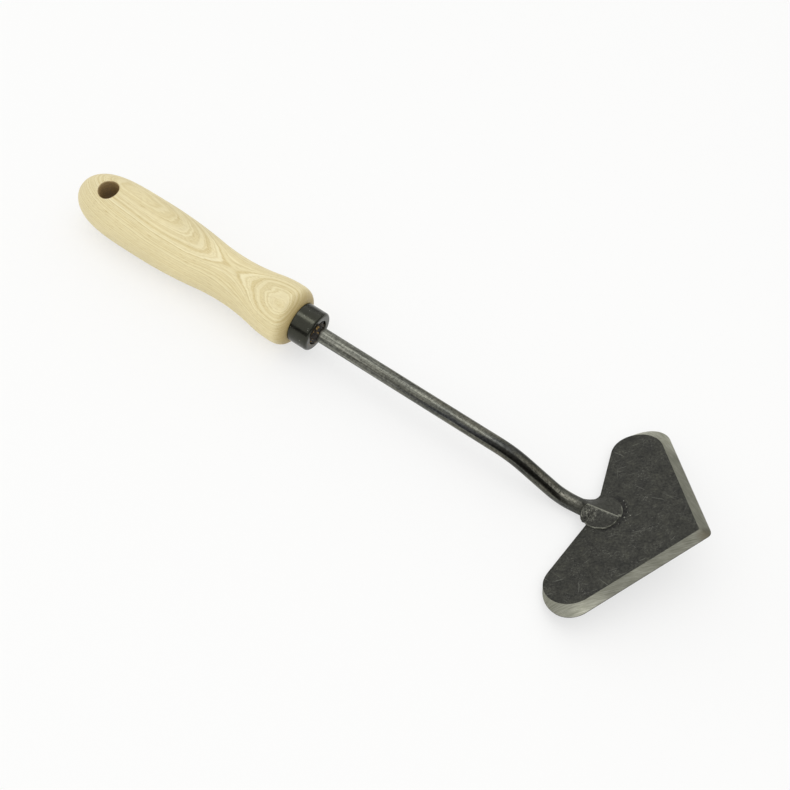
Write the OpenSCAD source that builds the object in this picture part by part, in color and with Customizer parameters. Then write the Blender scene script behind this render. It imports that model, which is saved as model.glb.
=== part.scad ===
// Short hand hoe with a heart-shaped blade: a turned wooden handle, a steel ferrule, a round
// shank with an S-shaped neck, and a flat blade ground along its two front edges.
// The origin is the middle of the hang hole on the handle's axis.
// +X runs along the handle to the blade. +Z points up as the tool lies on its grip and its wings.

/* [Handle] */
// Length of the wood from the butt to the ferrule
handle_length = 142; // [130:1:165]
// Diameter at the belly, the thickest part of the grip
belly_d = 33; // [30:0.5:37]
// Diameter at the waist
waist_d = 26; // [23:0.5:29]
// Diameter at the bulge in front of the waist
bulge_d = 32.8; // [30:0.2:36]
// Distance from the butt to the middle of the hang hole
hole_from_butt = 21; // [17:0.5:23]
// Diameter of the hang hole
hole_d = 11; // [8:0.5:13]
// Roll of the hang hole to the right of +Z, in degrees
hole_roll = 16.5; // [0:0.5:25]

/* [Ferrule] */
// Outer diameter of the ferrule
ferrule_d = 21.4; // [20:0.2:24]
// Length of the ferrule
ferrule_length = 11.5; // [9:0.5:16]
// Wall thickness of the ferrule
ferrule_wall = 1.8; // [1.2:0.1:2.2]
// Diameter of the open mouth in the ferrule's lip
mouth_d = 13.5; // [11:0.5:15]

/* [Shank] */
// Diameter of the round bar
shank_d = 8; // [7:0.5:9]
// Length of the straight bar from the ferrule to the first bend
straight_length = 107; // [80:1:140]
// Length of the tang inside the handle
tang_length = 70; // [50:1:85]
// Slope of the neck below the handle's axis, in degrees
neck_drop = 21.5; // [15:0.5:26]
// Length of the sloping part of the neck between its two bends
neck_length = 16.5; // [10:0.5:25]
// Slope of the shank's end above the handle's axis, in degrees
end_rise = 12.5; // [8:0.5:16]
// Diameter of the flattened palm on the blade
palm_d = 20; // [17:0.5:23]

/* [Blade] */
// Width across the wings
blade_width = 124; // [110:1:140]
// Depth from the tip to the rear of the wings
blade_depth = 64.2; // [60:0.1:72]
// Thickness of the plate
blade_thick = 2.4; // [2:0.1:3.2]
// Angle between each front edge and the blade's middle line, in degrees
edge_angle = 55.7; // [52:0.1:59]
// Width of the ground edge, seen from above
grind_width = 4.7; // [3:0.1:6]
// Rise of the blade above the handle's axis, in degrees
blade_pitch = 29.5; // [25:0.5:34]
// Turn of the blade to the left of the handle's axis, in degrees
blade_turn = 5.2; // [0:0.1:8]

/* [Hidden] */
$fn = 64;

// Stations along the handle
butt_x = -hole_from_butt;
shoulder_x = butt_x + handle_length;
ferrule_front_x = shoulder_x + ferrule_length;
belly_x = butt_x + 0.335 * handle_length;
waist_x = shoulder_x - 42.5;
bulge_x = shoulder_x - 8.5;
lip_thick = 2;
tenon_r = ferrule_d / 2 - ferrule_wall;
shoulder_r = ferrule_d / 2 - 0.3;

// Stations along the shank
shank_r = shank_d / 2;
drop_bend_r = 5 * shank_d;
rise_bend_r = 4.25 * shank_d;
end_length = 5;
bar_lap = 0.3;
bend_thinning = 0.05;
drop_bend = acos(cos(neck_drop) * cos(blade_turn));
drop_roll = atan2(cos(neck_drop) * sin(blade_turn), sin(neck_drop));
drop_start = [ferrule_front_x + straight_length, 0, 0];
drop_end = drop_start + drop_bend_r * [
    sin(drop_bend),
    (1 - cos(drop_bend)) * sin(drop_roll),
    -(1 - cos(drop_bend)) * cos(drop_roll)
];
rise_start = drop_end + neck_length * heading(-neck_drop);
rise_end = rise_start + [
    rise_bend_r * (sin(end_rise) + sin(neck_drop)) * cos(blade_turn),
    rise_bend_r * (sin(end_rise) + sin(neck_drop)) * sin(blade_turn),
    rise_bend_r * (cos(neck_drop) - cos(end_rise))
];
blade_seat = rise_end + end_length * heading(end_rise);

// Blade outline, measured from the sharp tip: back along -X and out along Y
edge_land = 0.4;
tip_r = 3.6;
wing_front_r = 11;
wing_back_r = 18.4;
ground_wing_r = 13;
back_slope = 10.7;
wing_front = [
    -(wing_front_r + (blade_width / 2 - wing_front_r) * cos(edge_angle)) / sin(edge_angle),
    blade_width / 2 - wing_front_r
];
wing_back_x = wing_back_r - blade_depth;
wing_reach = wing_back_r - wing_front_r;
wing_back = [
    wing_back_x,
    wing_front[1] - sqrt(max(0.01, pow(wing_reach, 2) - pow(wing_back_x - wing_front[0], 2)))
];
wing_split = atan2(wing_front[1] - wing_back[1], wing_front[0] - wing_back[0]);
ground_wing_x = ground_wing_r - blade_depth;
ground_wing = [
    ground_wing_x,
    -(ground_wing_x * sin(edge_angle) + grind_width + ground_wing_r) / cos(edge_angle)
];
back_end = wing_back + wing_back_r * [-cos(back_slope), -sin(back_slope)];
blade_rear_x = back_end[0] + back_end[1] * tan(back_slope);

// Palm and weld beads on the blade, measured from the middle of the blade's rear edge
palm_x = 0.15 * palm_d;
palm_edge = 0.6;
ridge_r = 0.4;
ridge_length = (shank_r - ridge_r) / tan(blade_pitch - end_rise);
bead_r = 1.3;

// Unit direction that rises by a slope in the turned plane of the neck
function heading(slope) = [
    cos(slope) * cos(blade_turn),
    cos(slope) * sin(blade_turn),
    sin(slope)
];

// Points on a circle between two angles
function arc(middle, r, from, to, steps) = [
    for (i = [0 : steps]) let (a = from + (to - from) * i / steps) middle + r * [cos(a), sin(a)]
];

// Two tangent arcs from one radius to another, level at both ends
function swell(x1, r1, x2, r2, share) =
    let (run = x2 - x1, rise = r2 - r1)
    let (reach = (run * run + rise * rise) / (2 * abs(rise)))
    let (turn = asin(run / reach))
    let (side = sign(rise))
    [
        for (i = [0 : 8]) let (a = turn * i / 8)
            [x1 + share * reach * sin(a), r1 + side * share * reach * (1 - cos(a))],
        for (i = [7 : -1 : 0]) let (a = turn * i / 8)
            [x2 - (1 - share) * reach * sin(a), r2 - side * (1 - share) * reach * (1 - cos(a))]
    ];

// Quarter of a rounded end: length along X, height along Y, blunter as the power grows
function rounded_end(length, height, power, steps) = [
    for (i = [0 : steps]) let (a = 90 * i / steps)
        [length * pow(sin(a), 2 / power), height * cos(a)]
];

function handle_profile() = let (
    butt = [for (p = rounded_end(belly_x - butt_x, belly_d / 2, 4, 16)) [belly_x - p[0], p[1]]],
    grip = swell(belly_x, belly_d / 2, waist_x, waist_d / 2, 0.7),
    front = swell(waist_x, waist_d / 2, bulge_x, bulge_d / 2, 0.63),
    shoulder = rounded_end(shoulder_x - bulge_x, bulge_d / 2 - shoulder_r, 2.5, 10)
) concat(
    [for (i = [16 : -1 : 1]) butt[i]],
    grip,
    [for (i = [1 : 16]) front[i]],
    [for (i = [1 : 10]) [bulge_x + shoulder[i][0], shoulder_r + shoulder[i][1]]],
    [[shoulder_x, tenon_r], [ferrule_front_x - lip_thick, tenon_r], [ferrule_front_x - lip_thick, 0]]
);

// Turns a profile drawn as X and radius about the X axis
module turned() {
    rotate([90, 0, 90])
        rotate_extrude()
            rotate(90)
                mirror([0, 1])
                    children();
}

// Round bar along +X that reaches a little into the bends at its ends
module bar(length) {
    translate([-bar_lap, 0, 0])
        rotate([0, 90, 0])
            cylinder(r = shank_r, h = length + 2 * bar_lap);
}

// Round bar that starts along +X and bends down, towards -Z, by an angle
module bend(r, angle) {
    translate([0, 0, -r])
        rotate([90, 0, 0])
            rotate([0, 0, 90 - angle])
                rotate_extrude(angle = angle)
                    translate([r, 0])
                        circle(r = shank_r - bend_thinning);
}

module on_blade() {
    translate(blade_seat)
        rotate([0, -blade_pitch, blade_turn])
            children();
}

module on_shank_end() {
    translate(blade_seat)
        rotate([0, -end_rise, blade_turn])
            children();
}

function both_sides(points) = concat(
    points,
    [for (i = [len(points) - 1 : -1 : 0]) [points[i][0], -points[i][1]]]
);

// Outline at the cutting edge, without the hollow between the wings
function edge_outline() = both_sides(concat(
    arc([-tip_r / sin(edge_angle), 0], tip_r, 0, 90 - edge_angle, 4),
    arc(wing_front, wing_front_r, 90 - edge_angle, wing_split, 12),
    arc(wing_back, wing_back_r, wing_split, 180, 14)
));

// Outline of the unground upper face, without the hollow between the wings
function face_outline() = both_sides(concat(
    [[-grind_width / sin(edge_angle), 0]],
    arc(ground_wing, ground_wing_r, 90 - edge_angle, 180, 18)
));

// The shallow hollow at the rear between the wings
module rear_hollow() {
    polygon(both_sides(concat(
        [[-2 * blade_depth, 0.8 * blade_width], [-2 * blade_depth, wing_back[1]]],
        arc(wing_back, wing_back_r, 180, 180 + back_slope, 4),
        [[blade_rear_x, 0]]
    )));
}

module plate_outline() {
    translate([-blade_rear_x, 0])
        difference() {
            polygon(edge_outline());
            rear_hollow();
        }
}

// Everything under the blade's upper face, within its outline
module below_face() {
    on_blade()
        translate([0, 0, -blade_depth])
            linear_extrude(blade_depth)
                plate_outline();
}

module handle() {
    color("burlywood")
        difference() {
            turned()
                polygon(concat([[butt_x, 0]], handle_profile()));
            rotate([hole_roll, 0, 0])
                cylinder(d = hole_d, h = 2 * belly_d, center = true);
            translate([ferrule_front_x - tang_length, 0, 0])
                bar(tang_length);
        }
}

module ferrule() {
    rim_r = ferrule_wall;
    color("dimgray")
        turned()
            polygon(concat(
                [[shoulder_x, tenon_r], [shoulder_x, ferrule_d / 2]],
                arc([ferrule_front_x - rim_r, ferrule_d / 2 - rim_r], rim_r, 90, 0, 8),
                [[ferrule_front_x, mouth_d / 2 + 0.4], [ferrule_front_x - 0.4, mouth_d / 2]],
                [[ferrule_front_x - lip_thick, mouth_d / 2], [ferrule_front_x - lip_thick, tenon_r]]
            ));
}

module neck() {
    translate([ferrule_front_x - tang_length, 0, 0])
        bar(tang_length + straight_length);
    translate(drop_start)
        rotate([drop_roll, 0, 0])
            bend(drop_bend_r, drop_bend);
    translate(drop_end)
        rotate([0, neck_drop, blade_turn])
            bar(neck_length);
    translate(rise_start)
        rotate([0, neck_drop, blade_turn])
            rotate([180, 0, 0])
                bend(rise_bend_r, neck_drop + end_rise);
    translate(rise_end)
        rotate([0, -end_rise, blade_turn])
            bar(end_length);
}

// Flattened end of the bar: a disc on the blade under a ridge that runs down to its front
module palm() {
    hull() {
        on_blade()
            translate([palm_x, 0, -palm_edge])
                cylinder(d = palm_d, h = 2 * palm_edge, $fn = 32);
        on_shank_end()
            for (x = [-shank_r, ridge_length])
                translate([x, 0, shank_r - ridge_r])
                    sphere(r = ridge_r, $fn = 16);
    }
}

module shank() {
    color("darkslategray")
        difference() {
            union() {
                neck();
                palm();
            }
            below_face();
        }
}

module blade() {
    color("slategray")
        on_blade()
            translate([-blade_rear_x, 0, -blade_thick])
                difference() {
                    hull() {
                        linear_extrude(edge_land)
                            polygon(edge_outline());
                        translate([0, 0, edge_land])
                            linear_extrude(blade_thick - edge_land)
                                polygon(face_outline());
                    }
                    translate([0, 0, -1])
                        linear_extrude(blade_thick + 2)
                            rear_hollow();
                }
}

// Beads where the palm's rim crosses the blade's rear edge
module weld(side) {
    color("gray")
        difference() {
            on_blade()
                for (i = [0 : 2])
                    translate([palm_x, 0, 0])
                        rotate([0, 0, side * (118 + 9 * i)])
                            translate([palm_d / 2, 0, bead_r / 4])
                                sphere(r = bead_r);
            shank();
            below_face();
        }
}

module weld_right() {
    weld(-1);
}

module weld_left() {
    weld(1);
}

handle();
ferrule();
shank();
blade();
weld_right();
weld_left();
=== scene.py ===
import math
from functools import partial

import bmesh
import bpy
import numpy as np
from mathutils import Matrix


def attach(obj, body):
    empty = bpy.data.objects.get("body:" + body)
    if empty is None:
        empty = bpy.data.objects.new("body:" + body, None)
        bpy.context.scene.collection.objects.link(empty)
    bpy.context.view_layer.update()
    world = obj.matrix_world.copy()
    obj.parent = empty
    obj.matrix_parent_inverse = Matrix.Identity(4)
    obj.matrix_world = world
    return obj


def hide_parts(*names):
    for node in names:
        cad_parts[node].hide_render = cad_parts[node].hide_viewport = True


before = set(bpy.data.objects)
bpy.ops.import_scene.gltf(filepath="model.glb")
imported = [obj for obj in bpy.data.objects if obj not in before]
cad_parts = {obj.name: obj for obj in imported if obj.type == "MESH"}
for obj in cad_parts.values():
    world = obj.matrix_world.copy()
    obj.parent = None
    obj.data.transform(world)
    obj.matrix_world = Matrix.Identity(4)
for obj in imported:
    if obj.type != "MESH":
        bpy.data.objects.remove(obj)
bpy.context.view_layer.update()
mm = 0.001
print("frame loaded:", ", ".join(sorted(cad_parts)))


# sRGB hex to linear colour: c / 12.92 when dark, ((c + 0.055) / 1.055) ** 2.4 above that
def toLinear(hexColour):
    c = np.array([int(hexColour[i:i + 2], 16) for i in (0, 2, 4)]) / 255
    c = np.where(c <= 0.04045, c / 12.92, ((c + 0.055) / 1.055) ** 2.4)
    return (*c.tolist(), 1.0)


# what the mode of a node is called
modeName = dict(Math="operation", VectorMath="operation", MapRange="interpolation_type", Mix="data_type",
                TexNoise="noise_dimensions", TexWhiteNoise="noise_dimensions", Attribute="attribute_name")


# fills a node's sockets, in order from a tuple or by name from a dictionary. A value is plain, a hex colour,
# another node's output, or a node, which stands for its first output in use.
def fillNode(node, links):
    byName = isinstance(links, dict)
    sockets = [node.inputs[name] for name in links] if byName else [s for s in node.inputs if s.enabled]
    for socket, value in zip(sockets, links.values() if byName else links):
        if isinstance(value, str):
            value = toLinear(value)
        if isinstance(value, bpy.types.Node):
            value = next(output for output in value.outputs if output.enabled)
        if isinstance(value, bpy.types.NodeSocket):
            node.id_data.links.new(value, socket)
        else:
            socket.default_value = value


# adds one node with its links, its mode and its other settings
def addNode(tree, kind, links=(), mode=None, **settings):
    node = tree.nodes.new("ShaderNode" + kind)
    if mode:
        settings[modeName[kind]] = mode
    for name, value in settings.items():
        setattr(node, name, value)
    fillNode(node, links)
    return node


# a new material, the function that adds nodes to it, and its shader with the sockets that are the same all over
def startFinish(name, **sockets):
    finish = bpy.data.materials.new(name)
    finish.use_nodes = True
    finish.node_tree.nodes.clear()
    add = partial(addNode, finish.node_tree)
    skin = add("BsdfPrincipled", sockets)
    add("OutputMaterial", (skin,))
    return finish, add, skin


# gives a colour ramp its stops, (position, hex colour) pairs
def setRamp(ramp, *stops):
    elements = ramp.color_ramp.elements
    while len(elements) < len(stops):
        elements.new(1.0)
    for element, (place, colour) in zip(elements, stops):
        element.position = place
        element.color = toLinear(colour)
    return ramp


# 0 below low, 1 above high, 3t2 - 2t3 between them
def ease(x, low, high):
    t = np.clip((x - low) / (high - low), 0, 1)
    return t * t * (3 - 2 * t)


# a bell curve, 1 at middle and 1 / e at reach from it
def bell(x, middle, reach):
    return np.exp(-((x - middle) / reach) ** 2)


# the larger of two heights, rounded over where they differ by less than reach
def roundedMax(a, b, reach):
    overlap = np.clip(1 - np.abs(a - b) / reach, 0, 1)
    return np.maximum(a, b) + overlap * overlap * reach / 4


# square root that is 0 below 0
def safeRoot(x):
    return np.sqrt(np.clip(x, 0, None))


# smooth noise from -1 to 1: random heights on a square lattice, eased between the lattice points
def lumps(x, y, cell, seed):
    size, shift = 64, 1000
    heights = np.random.default_rng(seed).uniform(-1, 1, (size, size))
    gx, gy = np.asarray(x) / cell + shift, np.asarray(y) / cell + shift
    ix, iy = np.floor(gx).astype(int), np.floor(gy).astype(int)
    tx, ty = gx - ix, gy - iy
    tx, ty = tx * tx * (3 - 2 * tx), ty * ty * (3 - 2 * ty)
    at = lambda i, j: heights[(ix + i) % size, (iy + j) % size]
    low = at(0, 0) * (1 - tx) + at(1, 0) * tx
    high = at(0, 1) * (1 - tx) + at(1, 1) * tx
    return low * (1 - ty) + high * ty


# count angles evenly round a full circle, in radians
def fullTurn(count):
    return np.linspace(0, 2 * math.pi, count, endpoint=False)


# one band of a piece: points of rows x columns x 3 in mm, whose columns close, the same points in the frame
# that the finish reads, how worn each point is, and which of the piece's finishes it has
def band(points, own=None, worn=None, finish=0):
    own = points if own is None else own
    worn = np.zeros(points.shape[:2]) if worn is None else worn
    return points, own, worn, finish


# The bands become one mesh: quads between neighbours, with seams and poles merged and normals outward.
def addPiece(name, bands, finishes, sharpDegrees=None):
    faces, finishIndex, start = [], [], 0
    for grid, _, _, finish in bands:
        rows, cols = grid.shape[:2]
        index = start + np.arange(rows * cols).reshape(rows, cols)
        index = np.concatenate([index, index[:, :1]], 1)
        quads = np.stack([index[:-1, :-1], index[:-1, 1:], index[1:, 1:], index[1:, :-1]], -1).reshape(-1, 4)
        faces.append(quads)
        finishIndex.append(np.full(len(quads), finish))
        start += rows * cols
    points, frames = (np.concatenate([one[k].reshape(-1, 3) for one in bands]) * mm for k in (0, 1))
    worn = np.concatenate([one[2].ravel() for one in bands])
    mesh = bpy.data.meshes.new(name)
    mesh.from_pydata(points, [], np.concatenate(faces))
    mesh.polygons.foreach_set("material_index", np.concatenate(finishIndex).astype(np.int32))
    layer = mesh.attributes.new("ownFrame", "FLOAT_VECTOR", "POINT")
    layer.data.foreach_set("vector", frames.astype(np.float32).ravel())
    layer = mesh.attributes.new("wornEdge", "FLOAT", "POINT")
    layer.data.foreach_set("value", worn.astype(np.float32))
    shell = bmesh.new()
    shell.from_mesh(mesh)
    bmesh.ops.remove_doubles(shell, verts=shell.verts, dist=2e-6)
    bmesh.ops.recalc_face_normals(shell, faces=shell.faces)
    shell.to_mesh(mesh)
    shell.free()
    mesh.polygons.foreach_set("use_smooth", np.ones(len(mesh.polygons), bool))
    if sharpDegrees:
        mesh.set_sharp_from_angle(angle=math.radians(sharpDegrees))
    for finish in finishes:
        mesh.materials.append(finish)
    piece = bpy.data.objects.new(name, mesh)
    bpy.context.scene.collection.objects.link(piece)
    print(name, len(mesh.vertices), "points", len(mesh.polygons), "faces")
    return piece


# evenly spaced points along a polyline of x and radius, turned about the X axis at the given angles
def turnProfile(profile, spacing, angles):
    profile = np.asarray(profile, float)
    steps = np.hypot(*np.diff(profile, axis=0).T)
    run = np.concatenate([[0], np.cumsum(steps)])
    places = np.linspace(0, run[-1], max(2, int(run[-1] / spacing) + 1))
    x, r = np.interp(places, run, profile[:, 0]), np.interp(places, run, profile[:, 1])
    ring = np.stack([np.cos(angles), np.sin(angles)], -1)
    return np.concatenate([np.repeat(x[:, None, None], len(angles), 1), r[:, None, None] * ring], 2)


# points of an arc from one angle to another: middle + r (cos a, sin a)
def roundCorner(middle, r, fromDegrees, toDegrees, steps):
    a = np.radians(np.linspace(fromDegrees, toDegrees, steps + 1))
    return np.stack([middle[0] + r * np.cos(a), middle[1] + r * np.sin(a)], -1)


# Camera of the photograph, solved from the tool's outline: place in mm, lens on a 36 mm sensor, and the
# nearest and farthest that it sees in m
camera = dict(
    place=(319.125, -346.962, 444.697),
    right=(0.823157, 0.543322, 0.164962),
    down=(0.517093, -0.597274, -0.613089),
    forward=(-0.234577, 0.589969, -0.772599),
    lens=53.959, sensor=36, nearest=0.01, farthest=20,
)
lens = bpy.data.cameras.new("photoCamera")
lens.lens, lens.sensor_width, lens.sensor_fit = camera["lens"], camera["sensor"], "HORIZONTAL"
lens.clip_start, lens.clip_end = camera["nearest"], camera["farthest"]
eye = bpy.data.objects.new("photoCamera", lens)
axes = np.stack([camera["right"], -np.array(camera["down"]), -np.array(camera["forward"])], 1)
eye.matrix_world = Matrix.Translation(np.array(camera["place"]) * mm) @ Matrix(axes.tolist()).to_4x4()
bpy.context.scene.collection.objects.link(eye)
bpy.context.scene.camera = eye
print("camera placed")

# Studio: a wide white table under a big soft panel. A smaller softbox, a dark card in front, and grey cards
# behind and at the right are there for the reflections in the steel.
studio = dict(tableZ=-16.5, tableReach=6000, paperGlow=0.6, roomFill=0.88,
              panelPlace=(60, -420, 1640), panelSize=(2000, 2000), panelPower=4.5,
              boxPlace=(-60, -80, 1150), boxSize=(640, 330), boxPower=2.6,
              frontY=-900, frontTop=300, backY=1300, backTop=760, rightX=950, rightTop=820, cardReach=2500)
white = (1, 1, 1, 1)
scene = bpy.context.scene
scene.view_settings.view_transform = "Standard"


# 1 for the rays that show the room to the eye, straight, by a reflection or through glass
def seenByEye(add):
    path = add("LightPath").outputs
    seen = add("Math", (path["Is Camera Ray"], path["Is Glossy Ray"]), "MAXIMUM")
    return add("Math", (seen, path["Is Transmission Ray"]), "MAXIMUM")


def makeRoom():
    room = bpy.data.worlds.new("whiteRoom")
    room.use_nodes = True
    room.node_tree.nodes.clear()
    add = partial(addNode, room.node_tree)
    level = add("MapRange", (seenByEye(add), 0, 1, studio["roomFill"], 1))
    add("OutputWorld", (add("Background", (white, level)),))
    return room


# white table top: the eye sees it near white, and it still takes the tool's soft shadow
def makePaper():
    paper, add, skin = startFinish("whitePaper", **{"Base Color": "FAFAF8", "Roughness": 0.9})
    share = add("Math", (seenByEye(add), studio["paperGlow"]), "MULTIPLY")
    both = add("MixShader", (share, skin, add("Emission", (white, 1))))
    fillNode(paper.node_tree.nodes["Material Output"], (both,))
    return paper


def addLamp(name, place, size, power):
    lamp = bpy.data.lights.new(name, "AREA")
    lamp.shape, lamp.size, lamp.size_y, lamp.energy = "RECTANGLE", size[0] * mm, size[1] * mm, power
    hung = bpy.data.objects.new(name, lamp)
    hung.location = np.array(place) * mm
    hung.visible_camera = False
    scene.collection.objects.link(hung)
    return hung


def addSheet(name, corners, finish):
    mesh = bpy.data.meshes.new(name)
    mesh.from_pydata(np.array(corners, float) * mm, [], [(0, 1, 2, 3)])
    mesh.materials.append(finish)
    sheet = bpy.data.objects.new(name, mesh)
    scene.collection.objects.link(sheet)
    return sheet


scene.world = makeRoom()
panel = addLamp("softPanel", studio["panelPlace"], studio["panelSize"], studio["panelPower"])
panel.visible_glossy = False
box = addLamp("softbox", studio["boxPlace"], studio["boxSize"], studio["boxPower"])
box.visible_diffuse = False
tableZ, far, reach = studio["tableZ"], studio["tableReach"], studio["cardReach"]
corners = ((-far, -far), (far, -far), (far, far), (-far, far))
addSheet("table", [(*corner, tableZ) for corner in corners], makePaper())
cards = (
    ("darkCard", "161616", [(-reach, studio["frontY"]), (reach, studio["frontY"])], studio["frontTop"]),
    ("greyCard", "C0C0BE", [(-reach, studio["backY"]), (reach, studio["backY"])], studio["backTop"]),
    ("sideCard", "6E6E6C", [(studio["rightX"], -reach), (studio["rightX"], reach)], studio["rightTop"]),
)
for name, colour, (left, right), top in cards:
    paint = startFinish(name, **{"Base Color": colour, "Roughness": 0.9})[0]
    card = addSheet(name, [(*left, tableZ), (*right, tableZ), (*right, top), (*left, top)], paint)
    card.visible_camera = card.visible_diffuse = card.visible_shadow = False
print("studio set")


# Handle of turned ash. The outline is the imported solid's own: a blunt butt, a belly, a waist and a bulge.
grip = dict(butt=-21.0, belly=26.57, waist=78.5, bulge=112.5, shoulder=121.0, bellyR=16.5, waistR=13.0,
            bulgeR=16.4, shoulderR=10.4, bellyShare=0.7, waistShare=0.63, tenonR=8.9, tenonEnd=130.5,
            holeR=5.5, holeRim=0.9, holeRoll=16.5, boreR=4.03, boreEnd=62.2, split=12.0, half=96,
            plugR=6.6, plugSide=0.9, plugEnd=132.9, collar=1.6, collarSide=142.0)


# two tangent arcs from (x1, r1) to (x2, r2), level at both ends; share is the first arc's part of the turn
def swell(x, x1, r1, x2, r2, share):
    run, rise = x2 - x1, r2 - r1
    reach, side = (run * run + rise * rise) / (2 * abs(rise)), np.sign(rise)
    a, b = share * reach, (1 - share) * reach
    first = r1 + side * (a - safeRoot(a * a - (x - x1) ** 2))
    second = r2 - side * (b - safeRoot(b * b - (x2 - x) ** 2))
    return np.where(x < x1 + share * run, first, second)


# radius of the wood at x: butt r = R (1 - t^4)^0.5, then the swells, then a shoulder of power 2.5
def gripRadius(x):
    g = grip
    back = np.clip((g["belly"] - x) / (g["belly"] - g["butt"]), 0, 1)
    front = np.clip((x - g["bulge"]) / (g["shoulder"] - g["bulge"]), 0, 1)
    r = g["bellyR"] * np.sqrt(1 - back ** 4)
    toWaist = swell(x, g["belly"], g["bellyR"], g["waist"], g["waistR"], g["bellyShare"])
    toBulge = swell(x, g["waist"], g["waistR"], g["bulge"], g["bulgeR"], g["waistShare"])
    shoulder = g["shoulderR"] + (g["bulgeR"] - g["shoulderR"]) * np.sqrt(1 - front ** 2.5)
    r = np.where(x > g["belly"], toWaist, r)
    r = np.where(x > g["waist"], toBulge, r)
    return np.where(x > g["bulge"], shoulder, r)


# turned part from the split to the shoulder, the tenon, its torn end round the tang, and the tang's bore
def makeTurned():
    g, angles = grip, fullTurn(2 * grip["half"])
    body = np.linspace(g["split"], g["bulge"], 600)
    quarter = np.radians(np.linspace(0, 90, 60))
    nose = np.stack([g["bulge"] + (g["shoulder"] - g["bulge"]) * np.sin(quarter) ** 0.8,
                     g["shoulderR"] + (g["bulgeR"] - g["shoulderR"]) * np.cos(quarter)], -1)
    outside = np.concatenate([np.stack([body, gripRadius(body)], -1), nose[1:]])
    turned = turnProfile(outside, 0.85, angles)
    tenon = turnProfile([(g["shoulder"], g["shoulderR"]), (g["shoulder"], g["tenonR"]),
                         (g["tenonEnd"], g["tenonR"])], 1.0, angles)
    # fibre and pitch pressed out of the ferrule's mouth: a lumpy, round collar on the tang, longest on one side
    endFace = turnProfile([(g["tenonEnd"], g["tenonR"]), (g["tenonEnd"], g["plugR"]),
                           (g["tenonEnd"] + g["plugSide"], g["plugR"]),
                           (g["plugEnd"], g["boreR"] + 0.5), (g["plugEnd"], g["boreR"])], 0.18, angles)
    y, z = endFace[..., 1], endFace[..., 2]
    fromTang = np.hypot(y, z)
    out = g["collar"] * ease(np.cos(angles - math.radians(g["collarSide"])), -0.4, 0.8)
    endFace[..., 0] += out * ease(fromTang, g["plugR"], g["boreR"])
    loose = ease(fromTang, g["plugR"] + 0.2, g["plugR"] - 0.6) * ease(fromTang, g["boreR"], g["boreR"] + 0.4)
    endFace[..., 0] += loose * (0.5 * lumps(y, z, 1.2, 5) + 0.45 * lumps(y, z, 0.55, 6) - 0.1)
    bore = turnProfile([(g["plugEnd"], g["boreR"]), (g["boreEnd"], g["boreR"]), (g["boreEnd"], 0)], 4.0, angles)
    bore[0, :, 0] += out
    return turned, tenon, endFace, bore


# butt with the hang hole: rays from the hole's rim to the split ring and to the outline at z = 0, lifted onto
# the turned shape, then a quarter-round rim and the hole's wall
def makeButt():
    g, half = grip, grip["half"]
    theta = np.linspace(0, math.pi, half + 1)
    ringY = gripRadius(np.array(g["split"])) * np.cos(theta)
    buttLength = g["belly"] - g["butt"]
    splitTurn = math.asin(((g["belly"] - g["split"]) / buttLength) ** 2)
    sideX = g["belly"] - buttLength * np.sqrt(np.sin(np.linspace(splitTurn, math.pi / 2, 49)))
    sideR = gripRadius(sideX)
    edge = np.concatenate([
        np.stack([np.full(half + 1, g["split"]), ringY], -1),
        np.stack([sideX, -sideR], -1)[1:],
        np.stack([sideX, sideR], -1)[::-1][1:-1],
    ])
    flat = np.concatenate([(1 - np.sin(theta)) ** 1.5, np.ones(len(edge) - half - 1)])[None, :]
    around = np.arctan2(edge[:, 1], edge[:, 0])
    ray = np.stack([np.cos(around), np.sin(around)], -1)
    inner = (g["holeR"] + g["holeRim"]) * ray
    t = np.linspace(1, 0, 44)[:, None]
    reach = (1 - flat) * t + flat * np.sin(t * math.pi / 2)
    plan = inner[None] + (edge - inner)[None] * reach[..., None]
    height = lambda p: safeRoot(gripRadius(p[..., 0]) ** 2 - p[..., 1] ** 2)
    top = np.concatenate([plan, height(plan)[..., None]], 2)
    top[0, half:, 2] = 0
    top[0, 0, 2] = 0
    soft = np.radians(np.linspace(0, 90, 9))[1:, None]
    rimPlan = (g["holeR"] + g["holeRim"] * (1 - np.sin(soft)))[..., None] * ray[None]
    rimTop = height(rimPlan) - g["holeRim"] * (1 - np.cos(soft))
    top = np.concatenate([top, np.concatenate([rimPlan, rimTop[..., None]], 2)])
    bottom = top * np.array([1, 1, -1])
    down = np.linspace(1, -1, 26)[:, None, None]
    wall = np.concatenate([np.repeat(top[-1:, :, :2], len(down), 0), top[-1:, :, 2:] * down], 2)
    return top, bottom, wall


# all of it is rolled about the handle's line until the hole stands as in the photograph
def makeGrip():
    c, s = math.cos(math.radians(grip["holeRoll"])), math.sin(math.radians(grip["holeRoll"]))
    rolled = np.array([(1, 0, 0), (0, c, s), (0, -s, c)])
    return [band(points @ rolled, points) for points in (*makeTurned(), *makeButt())]


# Ash, turned and sanded, thin oil: cream wood with tan ring lines where the turning cuts the growth layers, and
# pores along the grain. Sizes in mm: rings 1.25 apart, finer lines 0.4, fibres 0.45 and pores 0.36 wide, which
# is coarser than real ones so that they show.
# the shoulder's deeper yellow near the ferrule is partly a stain and partly painted shade
ashWood = dict(ring=1.25, facing=104.5, twist=0.28, twistFrom=87.5, pith=60.0, sway=3.4, pull=0.32,
               fineLines=2.55, fibres=(0.10, 2.2, 2.2), pores=(0.25, 2.8, 2.8), patches=(0.025, 0.05, 0.05),
               swayGrain=(0.014, 0.06, 0.06), stainShadeFrom=114.3, stainShadeTo=121.5, mouth=127.5)


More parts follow.
